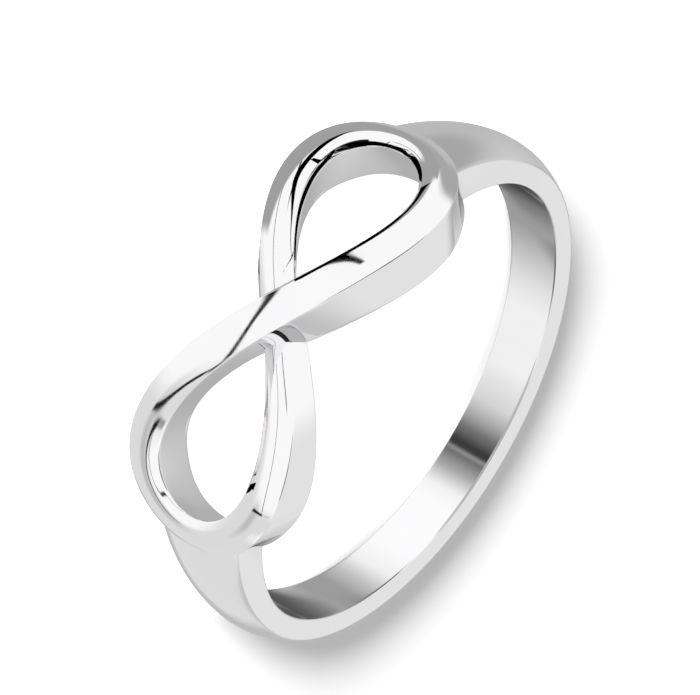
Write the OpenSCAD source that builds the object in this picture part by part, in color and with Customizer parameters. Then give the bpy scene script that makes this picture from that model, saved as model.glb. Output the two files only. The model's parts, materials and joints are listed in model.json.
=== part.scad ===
// A plain finger ring, cast in one piece: a slim shank that carries a figure of eight.
// The figure is one closed strand, wrapped round the finger, that passes over itself once.
// The ring lies on its side, as it rests by itself, with the figure towards -Y.
// All sizes are in millimetres.

/* [Finger] */
// Inside diameter of the ring
finger_d = 17.3; // [15:0.1:21]

/* [Shank] */
// Thickness of the edges at the back of the finger
back_t = 0.95; // [0.8:0.05:1.3]
// Thickness of the edges at the two sides
side_t = 0.82; // [0.7:0.02:1.2]
// Thickness of the edges that the flare would reach at the middle of the figure
front_t = 2.3; // [2:0.05:2.5]
// Width at the back of the finger
back_w = 1.9; // [1.6:0.1:2.6]
// Width at the two sides
side_w = 2.65; // [2.4:0.05:3]
// Width that the flare would reach at the middle of the figure
front_w = 4.1; // [3.4:0.1:4.4]
// Height of the crown of the outer face, as a share of the width
shank_crown = 0.17; // [0.05:0.01:0.2]
// Bevel along the outer edges
shank_bevel = 0.06; // [0.04:0.01:0.12]

/* [Figure of eight] */
// Half the length of the figure, on the strand's middle line
loop_reach = 8.65; // [8:0.05:9]
// How much the ends of the loops are blunted
loop_blunt = 0.1; // [0:0.05:0.3]
// Half the height of a loop, on the strand's middle line
loop_rise = 2.5; // [2.2:0.05:2.8]
// How much the widest place is moved towards the middle
loop_full = 0.2; // [0:0.05:0.3]

/* [Strand] */
// Width of the strand
strand_w = 1.36; // [1.2:0.02:1.5]
// Height of the strand's edges above the bore
strand_t = 1.9; // [1.7:0.05:2.2]
// Height gained towards the ends of the loops
end_lift = 0.22; // [0:0.02:0.3]
// Height of the crown of the strand's top face
strand_crown = 0.2; // [0.1:0.02:0.3]
// Bevel along the strand's edges
strand_bevel = 0.1; // [0.05:0.01:0.15]
// How far the lower pass dips under the upper one
cross_dip = 1.35; // [1:0.05:1.4]
// Length of that dip, in degrees of a whole trip along the strand
dip_span = 31; // [26:1:34]
// How much the top of the lower pass narrows there, on the upper side of the +X loop
cross_narrow = 0.45; // [0:0.05:0.5]
// How far the outer walls spread from the top edge to the bore
foot_out = 0.34; // [0.1:0.02:0.4]
// How far the holes widen from the top edge to the bore, along their sides
hole_side_flare = 0.2; // [0:0.02:0.3]
// How far the holes widen from the top edge to the bore, at their ends
hole_end_flare = 1.45; // [1:0.05:1.6]

/* [Hidden] */

bore_r = finger_d / 2;
// The figure is drawn flat and then wrapped on this radius.
wrap_r = bore_r + 1.8;
// Feet go this far below the bore's surface, which then trims them.
foot_depth = 0.6;
// Walls turn straight down just below the bore's surface.
foot_skin = 0.03;
cut_length = 12;
cut_sides = 180;

strand_steps = 72;
shank_steps = 72;
crown_steps = 3;

// The shank starts inside the end of each loop, along a line that bends as the loop does.
// Its face there leans with the end of the hole, so the line is further back at the bore.
start_angle = 49.5;
start_bend = 1.4;
start_lean = 3.5;

// The ring rests on the feet of both loops and on the back of the shank.
rest_t = 39;
rest_foot = foot(rest_t, 1, 0);
rest_run = -rest_foot[1] + bore_r + back_t;
rest_tilt = atan((rest_foot[2] - back_w / 2) / rest_run);

// A strip of triangles across a ring of n points, from one half of it to the other.
function cap(n) = [
    for (i = [0 : floor(n / 2) - 2])
        each [[i, n - 1 - i, i + 1], [i + 1, n - 1 - i, n - 2 - i]],
    if (n % 2 == 1) let (i = floor(n / 2) - 1) [i, i + 2, i + 1]
];

// A closed skin over rings of points, with a cap at each end.
module loft(rings) {
    n = len(rings[0]);
    last = len(rings) - 1;
    points = [for (ring = rings) each ring];
    sides = [
        for (i = [0 : last - 1], k = [0 : n - 1])
            let (a = i * n + k, b = i * n + (k + 1) % n)
            each [[a, b, b + n], [a, b + n, a + n]]
    ];
    last_cap = [for (f = cap(n)) [f[0], f[2], f[1]] + last * n * [1, 1, 1]];
    polyhedron(points, concat(sides, cap(n), last_cap));
}

// A place given by its angle from the front, its height along the finger and its radius.
function place(angle, z, r) = [r * sin(angle), -r * cos(angle), z];

// Middle line of the strand, laid flat: t runs from 0 to 360 and crosses itself at 0 and 180.
function middle(t) = [
    loop_reach * sin(t) + loop_blunt * sin(3 * t),
    loop_rise * sin(2 * t) + loop_full * sin(4 * t)
];

function heading(t) = [
    loop_reach * cos(t) + 3 * loop_blunt * cos(3 * t),
    2 * loop_rise * cos(2 * t) + 4 * loop_full * cos(4 * t)
];

// Unit vector to the left of the strand.
function left(t) = [-heading(t)[1], heading(t)[0]] / norm(heading(t));

// How far a side, 1 on the left and -1 on the right, is the outside of a loop: from -1 to 1.
// It changes over near the crossing, a little late, so that the outer walls meet in a corner.
function outside(t, side) =
    let (u = sin(t + 2 * side * cos(t)))
    side * u / sqrt(u * u + 0.006);

// Radius of the strand's edges: highest at the ends, dipping where it passes under.
function edge_r(t) =
    bore_r + strand_t
    + end_lift * pow(middle(t)[0] / loop_reach, 2)
    - cross_dip * exp(-pow(min(t, 360 - t) / dip_span, 2));

// How far a wall spreads from top to bore. At the ends of the holes both walls lean outwards.
function end_lean(t) = (hole_end_flare - hole_side_flare) * pow(abs(sin(t)), 12);

function spread(t, side) =
    outside(t, side) > 0
        ? outside(t, side) * (foot_out * pow(cos(t), 2) + end_lean(t))
        : outside(t, side) * (hole_side_flare + end_lean(t));

// Place of a wall across the strand at the bore.
function foot_across(t, side) = side * (strand_w / 2 + spread(t, side));

// A point of the strand, from its place across and its radius.
function strand_point(t, across, r) =
    let (p = middle(t) + across * left(t))
    place(p[0] / wrap_r * 180 / PI, p[1], r);

function foot(t, side, depth) = strand_point(t, foot_across(t, side), bore_r - depth);

// Place of an edge of the top face across the strand.
function edge_across(t, side) =
    let (dip = exp(-pow(min(t, 360 - t) / (0.55 * dip_span), 2)))
    side * (strand_w / 2 - cross_narrow * dip * max(min(side, outside(t, side)), 0));

function wall_top(t, side) =
    strand_point(t, edge_across(t, side), edge_r(t) - strand_bevel);

function crown_point(t, k) =
    let (
        low = edge_across(t, -1) + strand_bevel,
        high = edge_across(t, 1) - strand_bevel,
        across = (low + high) / 2 + k * (high - low) / 2
    )
    strand_point(t, across, edge_r(t) + strand_crown * (1 - k * k));

function strand_ring(t) = concat(
    [foot(t, -1, foot_depth), foot(t, -1, foot_skin), wall_top(t, -1)],
    [for (k = [-crown_steps : crown_steps]) crown_point(t, k / crown_steps)],
    [wall_top(t, 1), foot(t, 1, foot_skin), foot(t, 1, foot_depth)]
);

// Half of the strand, from the end of one loop to the end of the other.
module strand_half(from) {
    loft([
        for (i = [0 : strand_steps])
            let (t = from + 180 * i / strand_steps)
            strand_ring(t < 0 ? t + 360 : t)
    ]);
}

// Half width, edge thickness and crown of the shank, by the angle from the front.
function shank_half_w(a) =
    (back_w + front_w + 2 * side_w) / 8
    + (front_w - back_w) / 4 * cos(a)
    + (back_w + front_w - 2 * side_w) / 8 * cos(2 * a);

function shank_t(a) =
    side_t
    + (front_t - side_t) * pow(max(cos(a), 0), 2)
    + (back_t - side_t) * pow(min(cos(a), 0), 2);

// A point of the shank: share of the way round, share of the half width, share of the height.
function shank_point(share, z_share, rise, inset = 0) =
    let (
        z0 = z_share * shank_half_w(start_angle),
        start = start_angle - start_bend * z0 * z0 + start_lean * (1 - max(rise, 0)),
        a = start + share * (360 - 2 * start),
        half_w = shank_half_w(a),
        crown = 2 * shank_crown * half_w * (1 - z_share * z_share),
        r = rise < 0 ? bore_r - foot_depth : bore_r + rise * (shank_t(a) + crown) - inset
    )
    place(a, z_share * half_w - sign(z_share) * (rise > 0 && inset == 0 ? shank_bevel : 0), r);

function shank_ring(share) = concat(
    [shank_point(share, -1, 1, shank_bevel)],
    [for (k = [-crown_steps : crown_steps]) shank_point(share, k / crown_steps, 1)],
    [shank_point(share, 1, 1, shank_bevel)],
    [shank_point(share, 1, -1)],
    [for (k = [-crown_steps : crown_steps]) shank_point(share, -k / crown_steps, -1)],
    [shank_point(share, -1, -1)]
);

module shank() {
    loft([for (i = [0 : shank_steps]) shank_ring(i / shank_steps)]);
}

module ring() {
    color("silver")
    rotate([-rest_tilt, 0, 0])
    difference() {
        union() {
            shank();
            strand_half(90);
            strand_half(-90);
        }
        cylinder(r = bore_r, h = cut_length, center = true, $fn = cut_sides);
    }
}

ring();
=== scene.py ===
"""A plain silver finger ring with an open figure of eight, lying on its side on a white studio table.

Sizes are in millimetres until a mesh is made, which is in metres. Angles are in degrees.
"""

import json
import math

import bmesh
import bpy
import numpy as np
from mathutils import Matrix, Vector


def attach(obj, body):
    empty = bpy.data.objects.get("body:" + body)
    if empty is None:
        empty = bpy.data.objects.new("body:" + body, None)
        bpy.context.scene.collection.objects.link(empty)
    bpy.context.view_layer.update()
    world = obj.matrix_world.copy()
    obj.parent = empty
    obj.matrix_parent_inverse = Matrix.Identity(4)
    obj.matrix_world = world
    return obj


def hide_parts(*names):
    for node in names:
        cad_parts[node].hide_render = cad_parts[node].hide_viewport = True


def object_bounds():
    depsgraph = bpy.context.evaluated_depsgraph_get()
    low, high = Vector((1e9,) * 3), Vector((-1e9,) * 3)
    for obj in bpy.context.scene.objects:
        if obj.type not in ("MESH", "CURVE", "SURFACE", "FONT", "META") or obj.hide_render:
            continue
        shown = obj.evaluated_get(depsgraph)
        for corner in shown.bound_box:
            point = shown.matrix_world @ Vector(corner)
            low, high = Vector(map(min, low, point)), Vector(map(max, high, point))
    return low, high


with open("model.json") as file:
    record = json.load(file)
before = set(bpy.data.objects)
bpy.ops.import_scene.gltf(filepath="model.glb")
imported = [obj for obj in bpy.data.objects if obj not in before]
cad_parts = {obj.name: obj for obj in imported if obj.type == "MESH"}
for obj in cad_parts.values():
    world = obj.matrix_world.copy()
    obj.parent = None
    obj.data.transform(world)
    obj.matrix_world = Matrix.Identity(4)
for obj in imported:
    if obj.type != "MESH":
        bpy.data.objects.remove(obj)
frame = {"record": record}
cad_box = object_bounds()
MM = 0.001

# Sizes, as in the part's source. The bore is the finger hole in the frame.
BORE_R = frame["record"]["mounts"][0]["dims"]["r_mm"]
WRAP_R = BORE_R + 1.8
BACK_T, SIDE_T, FRONT_T = 0.95, 0.82, 2.3
BACK_W, SIDE_W, FRONT_W = 1.9, 2.65, 4.1
SHANK_CROWN = 0.17
LOOP_REACH, LOOP_BLUNT, LOOP_RISE, LOOP_FULL = 8.65, 0.1, 2.5, 0.2
STRAND_W, STRAND_T, END_LIFT = 1.36, 1.9, 0.22
CROSS_DIP, DIP_SPAN, CROSS_NARROW = 1.35, 31.0, 0.45
NARROW_SPAN = 0.55 * DIP_SPAN
FOOT_OUT, HOLE_SIDE_FLARE, HOLE_END_FLARE = 0.34, 0.2, 1.45
START_ANGLE, START_BEND, START_LEAN = 49.5, 1.4, 3.5
REST_T = 39.0

# How late and how softly a side of the strand changes from a loop's outside to its hole at the crossing.
CHANGE_LATE, CHANGE_SOFT = 2, 0.006
# The walls lean out at the loops' ends with this power of sin t.
LEAN_POWER = 12

# Sizes of the finish, which only the picture needs.
# Width of the bevel band along the strand's edges at the holes, and of the one along its outer edges.
HOLE_BAND, OUTER_BAND = 0.27, 0.33
# Share of that width at the crossing, and the |sin t| from which the band grows.
HOLE_BAND_START, OUTER_BAND_START = (0.3, 0.1), (0.12, 0.2)
# How far |sin t| rises until a band has its full width.
BAND_GROWTH = 0.5
# Share of a band's height that lies under the corner between wall and dome.
BAND_DROP = 0.6
# Slope of the band at the hole of the -X loop and of the +X loop, and of the outer bands.
HOLE_SLOPE_MINUS, HOLE_SLOPE_PLUS, OUTER_SLOPE = 64.0, 30.0, 30.0
# Within this sin t of the crossing, the slope at the holes changes from one loop's to the other's.
SLOPE_CHANGE = 0.4
# How far below the edge height the walls would meet the dome, and the dome's slope there.
CORNER_DROP, DOME_SLOPE = 0.05, 31.0
# Radius along both edges of a band, along the rims of the finger hole and along the shank's outer edges.
EDGE_ROUND, RIM_ROUND, SHANK_ROUND = 0.05, 0.07, 0.06
# Points on the arcs along a band's edges and along the strand's rims.
EDGE_ARC, RIM_ARC = 4, 5
# Angle that the round along the shank's outer edges and along its rims turns.
SHANK_TURN, RIM_TURN = 60, 90
# The strand's lower pass and the shank lie this far back where the inner faces overlap.
LAYER = 0.003
STRAND_STEPS, SHANK_STEPS = 241, 360
# Edges that bend more than this stay sharp, and points closer than this, in metres, are one.
SHARP_ANGLE, MERGE = 32, 1e-8


def sin(a):
    """Sine of an angle in degrees."""
    return np.sin(np.radians(a))


def cos(a):
    """Cosine of an angle in degrees."""
    return np.cos(np.radians(a))


def unit(v):
    """Vectors over their length."""
    return v / np.linalg.norm(v, axis=-1, keepdims=True)


# The shape of the ring.
def place(angle, z, r):
    """A point at an angle round the finger from the front, a height along it and a radius."""
    return np.stack(np.broadcast_arrays(r * sin(angle), -r * cos(angle), z), axis=-1)


def middle(t):
    """The strand's middle line laid flat: reach * sin t by rise * sin 2t, with a little sin 3t and 4t."""
    s = LOOP_REACH * sin(t) + LOOP_BLUNT * sin(3 * t)
    z = LOOP_RISE * sin(2 * t) + LOOP_FULL * sin(4 * t)
    return s, z


def left(t):
    """Unit vector to the strand's left: its heading, the derivative of middle, turned by 90 degrees."""
    ds = LOOP_REACH * cos(t) + 3 * LOOP_BLUNT * cos(3 * t)
    dz = 2 * LOOP_RISE * cos(2 * t) + 4 * LOOP_FULL * cos(4 * t)
    n = np.hypot(ds, dz)
    return -dz / n, ds / n


def outside(t, side):
    """1 where a side, 1 left or -1 right, is a loop's outside, -1 where it is the hole's: side * u / |u|.

    u is sin t, a little late at the crossing, and |u| is softened so that the change is smooth.
    """
    u = sin(t + CHANGE_LATE * side * cos(t))
    return side * u / np.sqrt(u * u + CHANGE_SOFT)


def near_cross(t, span):
    """A bell curve of t about the lower pass, exp(-(t / span) ^ 2)."""
    m = np.mod(t, 360)
    return np.exp(-(np.minimum(m, 360 - m) / span) ** 2)


def edge_rise(t):
    """Height of the top edges over the bore: it grows with the square of the middle line's reach.

    It dips by a bell curve where the strand passes under.
    """
    s, _ = middle(t)
    return STRAND_T + END_LIFT * (s / LOOP_REACH) ** 2 - CROSS_DIP * near_cross(t, DIP_SPAN)


def foot_across(t, side):
    """Place of a wall at the bore: half the width plus the wall's spread, more at the loops' ends."""
    o = outside(t, side)
    lean = (HOLE_END_FLARE - HOLE_SIDE_FLARE) * np.abs(sin(t)) ** LEAN_POWER
    spread = np.where(o > 0, o * (FOOT_OUT * cos(t) ** 2 + lean), o * (HOLE_SIDE_FLARE + lean))
    return side * (STRAND_W / 2 + spread)


def edge_across(t, side):
    """Place of a top edge: half the width, less on the upper side of the +X loop near the crossing."""
    pinch = CROSS_NARROW * near_cross(t, NARROW_SPAN)
    return side * (STRAND_W / 2 - pinch * np.maximum(np.minimum(side, outside(t, side)), 0))


def strand_point(t, across, rise):
    """A point of the strand: its middle line plus a step to the left, wrapped round the finger."""
    s, z = middle(t)
    ls, lz = left(t)
    return place(np.degrees((s + across * ls) / WRAP_R), z + across * lz, BORE_R + rise)


def rounded(before, corner, after, radius, steps):
    """Arcs of a radius in place of corners, tangent to the lines towards the points before and after.

    The centre is on the corner's bisector at radius / sin(half angle). The arc turns evenly from one
    tangent point to the other. All are arrays of plane points, one to a row, and each row gives an arc.
    """
    u, v = unit(before - corner), unit(after - corner)
    half = np.arccos(np.clip((u * v).sum(-1, keepdims=True), -1, 1)) / 2
    centre = corner + unit(u + v) * radius / np.sin(half)
    p, q = corner + u * radius / np.tan(half) - centre, corner + v * radius / np.tan(half) - centre
    k = np.linspace(0, 1, steps)[None, :, None]
    turn = (np.pi - 2 * half)[:, None]
    arc = (np.sin((1 - k) * turn) * p[:, None] + np.sin(k * turn) * q[:, None]) / np.sin(turn)
    return centre[:, None] + arc


def run(start, end, steps):
    """Evenly spaced points between two rows of points, without the two ends."""
    k = np.linspace(0, 1, steps + 1)[None, 1:-1, None]
    return start[:, None] * (1 - k) + end[:, None] * k


def edge_band(t, side):
    """Width and slope of the bevel band on a side, blended from the hole's band to the outer one.

    Each width grows from the crossing to the middle of a loop with a smooth step of |sin t|. The slope
    at the holes changes from the -X loop to the +X loop, with a cubic of sin t at the crossing.
    """
    def grown(least, start):
        """The share of the full width, from the least one."""
        k = np.clip((np.abs(sin(t)) - start) / BAND_GROWTH, 0, 1)
        return least + (1 - least) * k * k * (3 - 2 * k)

    out = (outside(t, side) + 1) / 2
    width = HOLE_BAND * grown(*HOLE_BAND_START) * (1 - out) + OUTER_BAND * grown(*OUTER_BAND_START) * out
    turn = np.clip(sin(t) / SLOPE_CHANGE, -1, 1)
    plus = 0.5 + 0.25 * turn * (3 - turn * turn)
    hole_slope = HOLE_SLOPE_PLUS * plus + HOLE_SLOPE_MINUS * (1 - plus)
    return width, hole_slope * (1 - out) + OUTER_SLOPE * out


def strand_profile(t, walls=12, band=3, dome=18, inner=14):
    """The closed profile across the strand, as rows of (across, height over the bore).

    Straight walls from the bore, a straight bevel band at each side of the top, a parabola between the
    bands with DOME_SLOPE at its ends, and arcs at all corners.
    """
    def point(across, rise):
        """Points of the profile, one to a row."""
        return np.stack(np.broadcast_arrays(across, rise), axis=-1)

    def corners(side):
        """The outer and the inner corner of the band on a side."""
        (width, slope), edge = edge_band(t, side), edge_across(t, side)
        low = edge_rise(t) - CORNER_DROP - BAND_DROP * width * sin(slope)
        return point(edge, low), point(edge - side * width * cos(slope), low + width * sin(slope))

    (low, low_in), (high, high_in) = corners(-1), corners(1)
    foot_low, foot_high = point(foot_across(t, -1), 0), point(foot_across(t, 1), 0)
    slope = np.array([cos(DOME_SLOPE), sin(DOME_SLOPE)])
    arcs = [rounded(foot_low, low, low_in, EDGE_ROUND, EDGE_ARC),
            rounded(low, low_in, low_in + slope, EDGE_ROUND, EDGE_ARC),
            rounded(high_in + slope * [-1, 1], high_in, high, EDGE_ROUND, EDGE_ARC),
            rounded(high_in, high, foot_high, EDGE_ROUND, EDGE_ARC),
            rounded(high, foot_high, foot_low, RIM_ROUND, RIM_ARC),
            rounded(foot_high, foot_low, low, RIM_ROUND, RIM_ARC)]
    runs = [run(arcs[i][:, -1], arcs[(i + 1) % 6][:, 0], n)
            for i, n in enumerate((band, dome, band, walls, inner, walls))]
    u = np.linspace(-1, 1, dome + 1)[None, 1:-1]
    half = (arcs[2][:, 0, 0] - arcs[1][:, -1, 0])[:, None] / 2
    runs[1][..., 1] += half * math.tan(math.radians(DOME_SLOPE)) / 2 * (1 - u * u)
    return np.concatenate([part for pair in zip(arcs, runs) for part in pair], axis=1)


def strand_rings(t, lift=0.0):
    """Profiles along the strand for the values t, raised by a lift times cos t squared."""
    t = np.mod(t, 360)
    profile = strand_profile(t)
    return strand_point(t[:, None], profile[..., 0], profile[..., 1] + lift * cos(t)[:, None] ** 2)


def shank_half_w(a):
    """Half the shank's width: a cosine series through the widths at the back, the sides and the front."""
    return ((BACK_W + FRONT_W + 2 * SIDE_W) / 8 + (FRONT_W - BACK_W) / 4 * cos(a)
            + (BACK_W + FRONT_W - 2 * SIDE_W) / 8 * cos(2 * a))


def shank_t(a):
    """Thickness of the shank's edges: least at the sides, growing with the cosine squared to both ends."""
    c = cos(a)
    return SIDE_T + (FRONT_T - SIDE_T) * np.maximum(c, 0) ** 2 + (BACK_T - SIDE_T) * np.minimum(c, 0) ** 2


def shank_rows(n, dome=25, turn=6):
    """The shank's outer face and its inner face, as two grids of n rows along it.

    Across the outer face an arc runs along each edge, with a parabola between them. Small arcs run along
    the inner face's rims. Both ends follow the curve of the loops' ends, further back below.
    """
    share = np.linspace(0, 1, n)[:, None]
    z0 = shank_half_w(START_ANGLE)

    def face(radius, lean, arc_end):
        """Angle, share of the half width and dip under the face's height, with an arc along each edge."""
        a = np.linspace(0, arc_end, turn)[:-1]
        arc_share = 1 - radius * (1 - cos(a)) / z0
        u = np.linspace(-1, 1, dome) * (1 - radius * (1 - cos(arc_end)) / z0)
        z_share = np.concatenate([-arc_share, u, arc_share[::-1]])[None]
        arc_dip = radius * (1 - sin(a))
        dip = np.concatenate([arc_dip, 0 * u + radius * (1 - sin(arc_end)), arc_dip[::-1]])[None]
        start = START_ANGLE - START_BEND * (z_share * z0) ** 2 + lean
        return start + share * (360 - 2 * start), z_share, dip

    angle, z_share, dip = face(SHANK_ROUND, 0, SHANK_TURN)
    half_w = shank_half_w(angle)
    crown = 2 * SHANK_CROWN * half_w * (1 - z_share ** 2)
    outer = place(angle, z_share * half_w, BORE_R + shank_t(angle) + crown - dip)
    angle, z_share, dip = face(RIM_ROUND, START_LEAN, RIM_TURN)
    inner = place(angle, z_share * shank_half_w(angle), BORE_R + 2 * LAYER + dip)
    return outer, inner


def block(top, low, steps=10):
    """Point grids of a block's six sides: two grids, and straight runs between their borders."""
    k = np.linspace(0, 1, steps)[:, None, None]

    def side(p, q):
        """The straight runs between two rows."""
        return p[None] * (1 - k) + q[None] * k

    return [top, low[:, ::-1], side(top[0], low[0])[:, ::-1], side(top[-1], low[-1]),
            side(top[:, 0], low[:, 0]), side(top[:, -1], low[:, -1])[:, ::-1]]


def rest_tilt():
    """Angle at which the ring lies on the loops' feet and the shank's back: arctangent of rise over run."""
    t = np.array([REST_T])
    foot = strand_point(t, foot_across(t, 1), 0)[0]
    return math.atan((foot[2] - BACK_W / 2) / (-foot[1] + BORE_R + BACK_T))


TILT = rest_tilt()


def tilted(points):
    """Points turned about X by the resting tilt, front end up."""
    y, z = points[..., 1], points[..., 2]
    c, s = math.cos(TILT), math.sin(TILT)
    return np.stack([points[..., 0], y * c + z * s, -y * s + z * c], axis=-1)


# Meshes and objects.
def new_object(name, data):
    """An object in the scene, at the origin."""
    ob = bpy.data.objects.new(name, data)
    bpy.context.scene.collection.objects.link(ob)
    return ob


def new_mesh(name, points, faces):
    """A mesh in metres from rows of points in millimetres and lists of corner numbers."""
    me = bpy.data.meshes.new(name)
    me.from_pydata((points * MM).tolist(), [], faces)
    return me


def grid_quads(n, m, wrap):
    """Corner numbers of the quads of an n by m grid, which may wrap round across."""
    i, j = np.meshgrid(np.arange(n - 1), np.arange(m if wrap else m - 1), indexing="ij")
    k = (j + 1) % m
    return np.stack([i * m + j, i * m + k, (i + 1) * m + k, (i + 1) * m + j], axis=-1).reshape(-1, 4)


def solid(name, grids, tube=False):
    """A closed mesh object from grids of points whose borders meet, or from one tube with flat ends."""
    points, faces, first = [], [], 0
    for g in grids:
        n, m = g.shape[:2]
        faces += (first + grid_quads(n, m, tube)).tolist()
        if tube:
            faces += [list(range(m)), list(range((n - 1) * m, n * m))]
        points.append(g.reshape(-1, 3))
        first += n * m
    me = new_mesh(name, tilted(np.concatenate(points)), faces)
    bm = bmesh.new()
    bm.from_mesh(me)
    bmesh.ops.remove_doubles(bm, verts=bm.verts, dist=MERGE)
    bmesh.ops.recalc_face_normals(bm, faces=bm.faces)
    bm.to_mesh(me)
    bm.free()
    return new_object(name, me)


def joined(name, base, others):
    """One object with one closed skin round the base and the others."""
    for ob in others:
        mod = base.modifiers.new("join", "BOOLEAN")
        mod.operation = "UNION"
        mod.solver = "MANIFOLD"
        mod.object = ob
    graph = bpy.context.evaluated_depsgraph_get()
    me = bpy.data.meshes.new_from_object(base.evaluated_get(graph), depsgraph=graph)
    for ob in [base] + others:
        bpy.data.objects.remove(ob)
    me.name = name
    # The union leaves an empty material slot.
    me.materials.clear()
    return new_object(name, me)


def make_ring():
    """The whole ring: both halves of the strand and the shank, joined into one closed skin."""
    along = np.linspace(0, 180, STRAND_STEPS)
    over = solid("over", [strand_rings(90 + along)], tube=True)
    under = solid("under", [strand_rings(-90 + along, LAYER)], tube=True)
    shank = solid("shank", block(*shank_rows(SHANK_STEPS)))
    ring = joined("ring_polished", over, [under, shank])
    ring.data.polygons.foreach_set("use_smooth", [True] * len(ring.data.polygons))
    ring.data.set_sharp_from_angle(angle=math.radians(SHARP_ANGLE))
    flat = ring.modifiers.new("flat_faces", "WEIGHTED_NORMAL")
    flat.keep_sharp = True
    return ring


# Materials.
# The patches of gloss: their size, the noise's range that counts, and the roughness over that range.
PATCH_SIZE, PATCH_RANGE, PATCH_ROUGHNESS = 1.5, (0.3, 0.7), (0.030, 0.055)
# The polishing hairlines: length, width and spacing, and depth. Real ones are finer and wouldn't show.
HAIRLINE_SIZE, HAIRLINE_DEPTH = (1.2, 0.04, 0.04), 0.0004
# Their direction, as turns in radians, the noise's range that counts, the roughness they add, and the bump.
HAIRLINE_TURN, HAIRLINE_RANGE, HAIRLINE_ROUGHNESS = (0.35, 0.0, 0.6), (0.45, 0.8), 0.03
HAIRLINE_BUMP = 0.25


def linear(hex_colour):
    """An sRGB hex colour as linear RGBA: c / 12.92 up to 0.04045, above it ((c + 0.055) / 1.055) ^ 2.4."""
    c = [int(hex_colour[i:i + 2], 16) / 255 for i in (1, 3, 5)]
    return [x / 12.92 if x <= 0.04045 else ((x + 0.055) / 1.055) ** 2.4 for x in c] + [1.0]


def add(tree, kind, inputs=(), **settings):
    """A node of a kind with its settings; inputs maps a socket to a value or to another node's output."""
    node = tree.nodes.new(kind)
    for key, value in settings.items():
        setattr(node, key, value)
    for key, value in dict(inputs).items():
        if isinstance(value, bpy.types.NodeSocket):
            tree.links.new(value, node.inputs[key])
        else:
            node.inputs[key].default_value = value
    return node


def new_material(name):
    """A material and its node tree."""
    mat = bpy.data.materials.new(name)
    mat.use_nodes = True
    return mat, mat.node_tree


def polished_silver():
    """Sterling silver, mirror-polished and rhodium-plated: a cool, almost white mirror.

    The polish is never quite even: broad soft patches of gloss, and hairlines from the buffing wheel, a few
    hundredths of a millimetre apart and well under a micrometre deep.
    """
    mat, tree = new_material("polished_rhodium_plated_silver")
    shader = tree.nodes["Principled BSDF"]
    shader.inputs["Metallic"].default_value = 1.0
    where = add(tree, "ShaderNodeTexCoord").outputs["Object"]
    patches = add(tree, "ShaderNodeTexNoise", {
        "Vector": where, "Scale": 1 / (PATCH_SIZE * MM), "Detail": 3.0}).outputs["Fac"]
    along = add(tree, "ShaderNodeMapping", {
        "Vector": where, "Rotation": HAIRLINE_TURN,
        "Scale": tuple(1 / (size * MM) for size in HAIRLINE_SIZE)}).outputs[0]
    hairlines = add(tree, "ShaderNodeTexNoise", {
        "Vector": along, "Scale": 1.0, "Detail": 4.0}).outputs["Fac"]
    gloss = add(tree, "ShaderNodeMapRange", {
        "Value": patches, "From Min": PATCH_RANGE[0], "From Max": PATCH_RANGE[1],
        "To Min": PATCH_ROUGHNESS[0], "To Max": PATCH_ROUGHNESS[1]}).outputs["Result"]
    worn = add(tree, "ShaderNodeMapRange", {
        "Value": hairlines, "From Min": HAIRLINE_RANGE[0], "From Max": HAIRLINE_RANGE[1],
        "To Min": 0.0, "To Max": HAIRLINE_ROUGHNESS}).outputs["Result"]
    rough = add(tree, "ShaderNodeMath", {0: gloss, 1: worn}, operation="ADD").outputs[0]
    tint = add(tree, "ShaderNodeMix", {
        0: patches, 6: linear("#f5f4f5"), 7: linear("#f2f1f3")}, data_type="RGBA").outputs[2]
    relief = add(tree, "ShaderNodeBump", {
        "Height": hairlines, "Strength": HAIRLINE_BUMP, "Distance": HAIRLINE_DEPTH * MM}).outputs[0]
    tree.links.new(rough, shader.inputs["Roughness"])
    tree.links.new(tint, shader.inputs["Base Color"])
    tree.links.new(relief, shader.inputs["Normal"])
    return mat


# The stage.
# The table: its height just under the ring, and half its side.
TABLE_Z, TABLE_HALF = cad_box[0].z / MM - 0.01, 3000.0
# Light of the tent on the table, the table's own even glow, and a painted pool of light: stronger glow in a
# round patch under and in front of the ring, which washes out the ring's shadows there. Then the y of the
# patch's middle, and the radii over which it fades.
FLOOR_LIGHT, TABLE_LIGHT, PAINTED_POOL_LIGHT = 0.2, 0.25, 0.8
PAINTED_POOL_Y, PAINTED_POOL_RADIUS = -2.5, (10.2, 11.0)
# The sun: strength, how wide it looks, and the way its light goes.
SUN_LIGHT, SUN_ANGLE, SUN_TRAVEL = 5.7, 15, (0.10, 1.0, -0.42)
# The camera: azimuth, elevation and roll about the sight line, distance, the point it aims at, and lens.
CAMERA_AZIMUTH, CAMERA_ELEVATION, CAMERA_ROLL = 1.0, 35.3, -119.4
CAMERA_DISTANCE, CAMERA_AIM = 303.0, (-0.63, -0.98, -1.36)
CAMERA_LENS, CAMERA_SENSOR = 439.6, 36.0

# The studio that the silver mirrors, by direction: azimuth from -Y towards +X, and elevation.
OPEN_WHITE = 1.05
# Round panels: name, azimuth, elevation, radius, softness, brightness.
PANELS = [
    ("right_screen", 110, -20, 66, 8, 0.78),
    ("right_shade", 60, -6, 15, 11, 0.56),
    ("right_window", 106, 20, 11, 5, 1.05),
    ("left_screen", -150, -15, 57, 6, 0.53),
    ("left_edge_screen", -108, -8, 22, 10, 0.42),
    ("shank_glow", -150, -4, 17, 14, 0.66),
    ("black_ceiling", -10, 74, 30, 3, 0.02),
    ("front_ceiling", 28, 62, 18, 2, 0.02),
    ("back_wall", 180, 38, 48, 16, 0.84),
    ("right_wall_shade", 146, 10, 17, 8, 0.58),
    ("left_wall_shade", -140, 8, 12, 14, 0.64),
    ("left_low_shade", -164, -4, 13, 9, 0.46),
]
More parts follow.
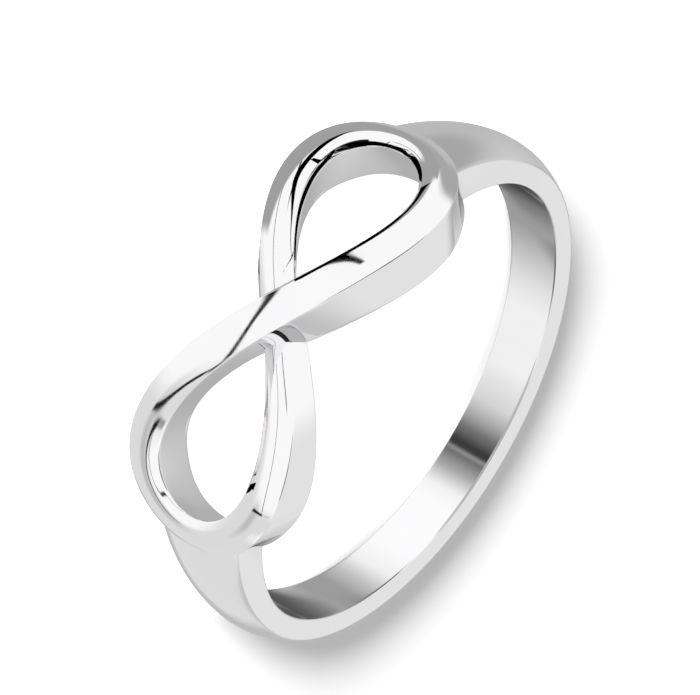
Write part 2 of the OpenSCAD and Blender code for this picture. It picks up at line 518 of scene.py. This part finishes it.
# Black ribbons, each along a circle of directions: name, azimuth and elevation of the circle's pole, its
# distance from the great circle, half width, and azimuth, elevation and radius of the round it is cut to.
RIBBONS = [
    ("ribbon_left", -105.8, 17.7, 7.4, 1.2, -36, -28, 40),
    ("ribbon_right", 81.4, -41.5, 20.3, 0.9, 12, -20, 66),
    ("ribbon_hook", 109.1, -14.9, 29.9, 1.3, 61, 4, 25),
]
RIBBON_SOFT, RIBBON_CUT_SOFT = 0.5, 4
# Flat cards that lie: name, middle in x and y, height over the ring's lowest point, half sizes, softness of
# the edge, and brightness at both ends along x.
CARDS = [
    ("left_card", (-13.5, -8.6), 0.0, (11.6, 3.0), 0.8, (0.40, 0.38)),
    ("crossing_card", (0.5, -10.3), 14.0, (3.0, 2.2), 0.6, (0.55, 0.55)),
]
# Small black flags close to the loops: name, middle, azimuth and elevation that they face, and points of a
# smooth line along them, each with its place across and up and the flag's half width.
FLAGS = [
    ("loop_flag", (-6.01, -10.49, -0.85), -38, 2,
     [(-2.75, -0.20, 0.01), (-1.2, -0.37, 0.25), (0.5, -0.25, 0.36), (1.2, 0.52, 0.24),
      (1.70, 1.9, 0.12), (2.08, 2.75, 0.06), (2.15, 3.5, 0.05)]),
    ("hole_flag", (-6.21, -9.03, 0.99), 39.1, 19.4,
     [(0.08, -2.0, 0.20), (0.13, -1.7, 0.23), (0.11, -1.2, 0.26), (-0.01, -0.8, 0.24),
      (-0.02, 0.1, 0.19), (0.16, 0.44, 0.18)]),
    ("edge_flag", (-4.45, -9.61, 2.04), -76.3, -60.4,
     [(1.45, -2.5, 0.19), (1.24, -1.96, 0.20), (0.00, 0.24, 0.21), (-1.05, 1.44, 0.11), (-2.1, 2.2, 0.08)]),
    ("side_flag", (-4.54, -8.77, 0.35), -135.0, 51.3,
     [(1.20, -1.50, 0.06), (0.59, -0.67, 0.09), (0.01, -0.07, 0.13), (-0.43, 0.49, 0.18),
      (-1.25, 1.31, 0.16)]),
    ("end_flag", (-6.92, -7.83, 1.54), 65.1, -74.7,
     [(0.40, 0.14, 0.03), (0.34, 0.10, 0.05), (0.05, -0.05, 0.07), (-0.14, -0.32, 0.15)]),
    ("wedge_flag", (5.66, -8.67, 2.38), 61.9, -70.8,
     [(0.26, 0.08, 0.03), (0.19, 0.02, 0.07), (-0.03, -0.06, 0.12), (-0.25, 0.19, 0.15)]),
]
# The card that stands across the finger hole, which the strand's walls mirror: both ends in x, its y, the
# softness of its ends, and stops by height with the brightness and the cover.
WALL_CARD_X, WALL_CARD_Y, WALL_CARD_SOFT = (-7.9, 7.9), -2.5, 0.11
WALL_CARD = [(-3.4, 0.44, 0.0), (-2.7, 0.45, 1.0), (-1.5, 0.47, 1.0), (-0.5, 0.53, 1.0), (0.3, 0.575, 1.0),
             (1.2, 0.62, 1.0), (2.5, 0.69, 1.0), (4.2, 0.74, 1.0)]
# The sleeve below the finger hole, which the bore mirrors: stops by the angle round it, with brightness.
SLEEVE = [(-180, 0.37), (-158, 0.37), (-140, 0.60), (-122, 0.98), (-100, 1.08), (-52, 1.08), (-40, 1.0),
          (-26, 0.45), (-14, 0.17), (-11.5, 0.34), (-9, 0.05), (-5, 0.045), (6, 0.20), (16, 0.46),
          (28, 0.74), (44, 0.86), (56, 0.97), (104, 0.97), (126, 0.83), (148, 0.62), (164, 0.48),
          (180, 0.37)]
# The collar in front of its upper part, which only the two sides of the bore mirror.
COLLAR = [(-180, 0.39), (-165, 0.31), (-154, 0.24), (-147, 0.21), (-138, 0.14), (-125, 0.065), (-112, 0.05),
          (-108, 0.60), (-91, 0.60), (91, 0.05), (129, 0.085), (144, 0.12), (158, 0.19), (171, 0.29),
          (180, 0.39)]
# Both tubes: name, upper and lower end, gap outside the bore's radius, softness of the ends, half the
# angle that is left open at the front, and the stops.
TUBES = [
    ("sleeve", (-2.0, -18.0), 0.12, 0.0, 0, SLEEVE),
    ("collar", (0.9, -5.0), 0.10, 0.27, 91, COLLAR),
]


def direction(azimuth, elevation):
    """Unit vector for an azimuth from -Y towards +X and an elevation."""
    return sin(azimuth) * cos(elevation), -cos(azimuth) * cos(elevation), sin(elevation)


def make_table():
    """The white paper table, which glows evenly, with painted light: a round patch of stronger glow that
    washes out the ring's shadows, with a smooth step at its edge.
    """
    corners = np.array([(-1, -1, 0), (1, -1, 0), (1, 1, 0), (-1, 1, 0)]) * TABLE_HALF + (0, 0, TABLE_Z)
    me = new_mesh("table", corners, [(0, 1, 2, 3)])
    ob = new_object("table", me)
    mat, tree = new_material("white_paper_painted_light_pool")
    shader = tree.nodes["Principled BSDF"]
    shader.inputs["Base Color"].default_value = linear("#f7f7f8")
    shader.inputs["Roughness"].default_value = 0.9
    shader.inputs["Emission Color"].default_value = linear("#ffffff")
    where = add(tree, "ShaderNodeTexCoord").outputs["Object"]
    # Painted light: the glow is stronger in a round patch under and in front of the ring, so the ring's
    # shadows there are washed out.
    painted_pool_middle = (0.0, PAINTED_POOL_Y * MM, TABLE_Z * MM)
    off = add(tree, "ShaderNodeVectorMath", {0: where, 1: painted_pool_middle}, operation="DISTANCE").outputs["Value"]
    glow = add(tree, "ShaderNodeMapRange", {
        "Value": off, "From Min": PAINTED_POOL_RADIUS[0] * MM, "From Max": PAINTED_POOL_RADIUS[1] * MM,
        "To Min": PAINTED_POOL_LIGHT, "To Max": TABLE_LIGHT}, interpolation_type="SMOOTHSTEP").outputs["Result"]
    tree.links.new(glow, shader.inputs["Emission Strength"])
    me.materials.append(mat)
    ob.visible_glossy = False


def make_camera():
    """The photograph's camera: right and up are the level ones, turned about the sight line by the roll."""
    back = np.array(direction(CAMERA_AZIMUTH, CAMERA_ELEVATION))
    level_right = np.array(direction(CAMERA_AZIMUTH + 90, 0))
    level_up = np.cross(back, level_right)
    right = cos(CAMERA_ROLL) * level_right - sin(CAMERA_ROLL) * level_up
    up = cos(CAMERA_ROLL) * level_up + sin(CAMERA_ROLL) * level_right
    at = (np.array(CAMERA_AIM) + back * CAMERA_DISTANCE) * MM
    cam = bpy.data.cameras.new("camera")
    cam.lens, cam.sensor_width = CAMERA_LENS, CAMERA_SENSOR
    cam.clip_start, cam.clip_end = 0.01, 10.0
    ob = new_object("camera", cam)
    ob.matrix_world = Matrix(np.vstack([np.stack([right, up, back, at], axis=-1), [0, 0, 0, 1]]).tolist())
    bpy.context.scene.camera = ob


def lit_card(name, points, stops, soft_u=0.0, soft_v=0.0):
    """A lit card that only the silver mirrors, from a grid of points in millimetres.

    Its brightness and cover follow the stops along u, the first of its two directions, and its edges fade.
    """
    n, m = points.shape[:2]
    me = new_mesh(name, points.reshape(-1, 3), grid_quads(n, m, False).tolist())
    u, v = np.meshgrid(np.linspace(0, 1, n), np.linspace(0, 1, m), indexing="ij")
    corners = np.empty(len(me.loops), dtype=np.int32)
    me.loops.foreach_get("vertex_index", corners)
    layer = me.uv_layers.new(name="card")
    uv = np.stack([u.ravel(), v.ravel()], axis=-1)[corners]
    layer.data.foreach_set("uv", uv.astype(np.float32).ravel())
    ob = new_object(name, me)
    mat, tree = new_material("lit_" + name)
    tree.nodes.clear()
    at = add(tree, "ShaderNodeSeparateXYZ", {0: add(tree, "ShaderNodeUVMap", uv_map="card").outputs[0]})
    ramp = add(tree, "ShaderNodeValToRGB", {0: at.outputs[0]})
    for i, (position, level, cover) in enumerate(stops):
        stop = ramp.color_ramp.elements[i] if i < 2 else ramp.color_ramp.elements.new(position)
        stop.position, stop.color = position, (level, level, level, cover)
    mask = ramp.outputs["Alpha"]
    for axis, soft in ((0, soft_u), (1, soft_v)):
        if soft:
            off = add(tree, "ShaderNodeMath", {0: at.outputs[axis], 1: 0.5}, operation="SUBTRACT")
            off = add(tree, "ShaderNodeMath", {0: off.outputs[0]}, operation="ABSOLUTE").outputs[0]
            edge = add(tree, "ShaderNodeMapRange", {"Value": off, "From Min": 0.5, "From Max": 0.5 - soft},
                       interpolation_type="SMOOTHSTEP").outputs["Result"]
            mask = add(tree, "ShaderNodeMath", {0: edge, 1: mask}, operation="MULTIPLY").outputs[0]
    light = add(tree, "ShaderNodeEmission", {"Color": ramp.outputs["Color"]})
    clear = add(tree, "ShaderNodeBsdfTransparent")
    mixed = add(tree, "ShaderNodeMixShader", {0: mask, 1: clear.outputs[0], 2: light.outputs[0]})
    add(tree, "ShaderNodeOutputMaterial", {"Surface": mixed.outputs[0]})
    me.materials.append(mat)
    ob.visible_camera = ob.visible_diffuse = ob.visible_shadow = False


def make_flat_cards():
    """The cards that lie over the table, with their brightness along x."""
    for name, (cx, cy), height, (hx, hy), soft, (first, last) in CARDS:
        x, y = np.meshgrid([cx - hx, cx + hx], [cy - hy, cy + hy], indexing="ij")
        points = np.stack([x, y, 0 * x + cad_box[0].z / MM + height], axis=-1)
        lit_card(name, points, [(0.0, first, 1.0), (1.0, last, 1.0)], soft / (2 * hx), soft / (2 * hy))


def smooth_line(points, steps=6):
    """Rows of a smooth line through rows of points, with the slope a' at each row a.

    Between rows a and b it is (1 + 2k)(1 - k)^2 a + k^2 (3 - 2k) b + k (1 - k)^2 a' - k^2 (1 - k) b', and
    k goes from 0 to 1. The slope at a row is half the step from the row before it to the row after it.
    """
    slope = np.gradient(points, axis=0)[:, None]
    row = points[:, None]
    k = np.linspace(0, 1, steps + 1)[None, :-1, None]
    line = ((1 + 2 * k) * (1 - k) ** 2 * row[:-1] + k ** 2 * (3 - 2 * k) * row[1:]
            + k * (1 - k) ** 2 * slope[:-1] - k ** 2 * (1 - k) * slope[1:])
    return np.concatenate([line.reshape(-1, points.shape[1]), points[-1:]])


def make_flags():
    """Each flag is a strip: its smooth line plus and minus the half width, across the line's heading."""
    for name, at, azimuth, elevation, points in FLAGS:
        line = smooth_line(np.array(points))
        heading = unit(np.gradient(line[:, :2], axis=0))
        step = heading[:, ::-1] * [-1, 1] * line[:, 2:]
        plane = np.stack([line[:, :2] - step, line[:, :2] + step], axis=1)
        ahead = np.array(direction(azimuth, elevation))
        right = unit(np.cross([0.0, 0.0, 1.0], ahead))
        strip = np.array(at) + plane[..., :1] * right + plane[..., 1:] * np.cross(ahead, right)
        lit_card(name, strip, [(0.0, 0.0, 1.0), (1.0, 0.0, 1.0)])


def make_wall_card():
    """The card that stands across the finger hole, with its brightness by height."""
    low, high = WALL_CARD[0][0], WALL_CARD[-1][0]
    z, x = np.meshgrid([low, high], WALL_CARD_X, indexing="ij")
    stops = [((height - low) / (high - low), level, cover) for height, level, cover in WALL_CARD]
    lit_card("wall_card", np.stack([x, 0 * x + WALL_CARD_Y, z], axis=-1), stops, 0.0, WALL_CARD_SOFT)


def make_tubes():
    """The sleeve and the collar: tubes on the bore's axis, with their brightness by the angle round it."""
    around = np.linspace(-180, 180, 181)[:, None]
    for name, ends, gap, soft, opening, stops in TUBES:
        points = tilted(place(around, np.array([ends]), BORE_R + gap))
        covered = [(a / 360 + 0.5, level, 1.0 if abs(a) > opening else 0.0) for a, level in stops]
        lit_card(name, points, covered, 0.0, soft)


def make_sun():
    """The key light: a soft sun from the front, whose shadow falls behind the ring. It isn't mirrored."""
    light = bpy.data.lights.new("key", "SUN")
    light.energy, light.angle = SUN_LIGHT, math.radians(SUN_ANGLE)
    ob = new_object("key", light)
    ob.rotation_euler = Vector(SUN_TRAVEL).to_track_quat("-Z", "Y").to_euler()
    ob.visible_glossy = False


def make_studio():
    """World shader: a white tent with grey screens and black ribbons, which only mirrored rays see."""
    world = bpy.data.worlds.new("studio")
    bpy.context.scene.world = world
    world.use_nodes = True
    tree = world.node_tree
    where = add(tree, "ShaderNodeTexCoord").outputs["Generated"]

    def toward(azimuth, elevation):
        """Angle in degrees above the plane across a direction: the arcsine of the dot product."""
        dot = add(tree, "ShaderNodeVectorMath", {0: where, 1: direction(azimuth, elevation)},
                  operation="DOT_PRODUCT")
        arc = add(tree, "ShaderNodeMath", {0: dot.outputs["Value"]}, operation="ARCSINE").outputs[0]
        return add(tree, "ShaderNodeMath", {0: arc, 1: 180 / math.pi}, operation="MULTIPLY").outputs[0]

    def ramp(value, edge, soft):
        """0 below an edge, 1 above it, with a smooth step between."""
        return add(tree, "ShaderNodeMapRange", {
            "Value": value, "From Min": edge - soft, "From Max": edge + soft},
            interpolation_type="SMOOTHSTEP").outputs["Result"]

    def blend_in(name, level, mask, brightness):
        """The level, with a brightness in its place where the mask is 1."""
        return add(tree, "ShaderNodeMix", {0: mask, 2: level, 3: brightness}, data_type="FLOAT",
                   label=name).outputs[0]

    level = add(tree, "ShaderNodeValue").outputs[0]
    level.default_value = OPEN_WHITE
    for name, azimuth, elevation, radius, soft, brightness in PANELS:
        level = blend_in(name, level, ramp(toward(azimuth, elevation), 90 - radius, soft), brightness)
    for name, azimuth, elevation, offset, half, cut_azimuth, cut_elevation, cut_radius in RIBBONS:
        away = add(tree, "ShaderNodeMath", {0: toward(azimuth, elevation), 1: offset}, operation="SUBTRACT")
        away = add(tree, "ShaderNodeMath", {0: away.outputs[0]}, operation="ABSOLUTE").outputs[0]
        beside = ramp(away, half, RIBBON_SOFT)
        across = add(tree, "ShaderNodeMath", {0: 1.0, 1: beside}, operation="SUBTRACT").outputs[0]
        cut = ramp(toward(cut_azimuth, cut_elevation), 90 - cut_radius, RIBBON_CUT_SOFT)
        mask = add(tree, "ShaderNodeMath", {0: across, 1: cut}, operation="MULTIPLY").outputs[0]
        level = blend_in(name, level, mask, 0.0)
    mirrored = add(tree, "ShaderNodeLightPath").outputs["Is Glossy Ray"]
    seen = add(tree, "ShaderNodeMix", {0: mirrored, 2: FLOOR_LIGHT, 3: level}, data_type="FLOAT")
    background = tree.nodes["Background"]
    tree.links.new(seen.outputs[0], background.inputs["Color"])
    background.inputs["Strength"].default_value = 1.0
    bpy.context.scene.view_settings.view_transform = "Standard"


ring = make_ring()
ring.data.materials.append(polished_silver())
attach(ring, "root")
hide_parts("ring")
make_table()
make_camera()
make_flat_cards()
make_flags()
make_wall_card()
make_tubes()
make_sun()
make_studio()
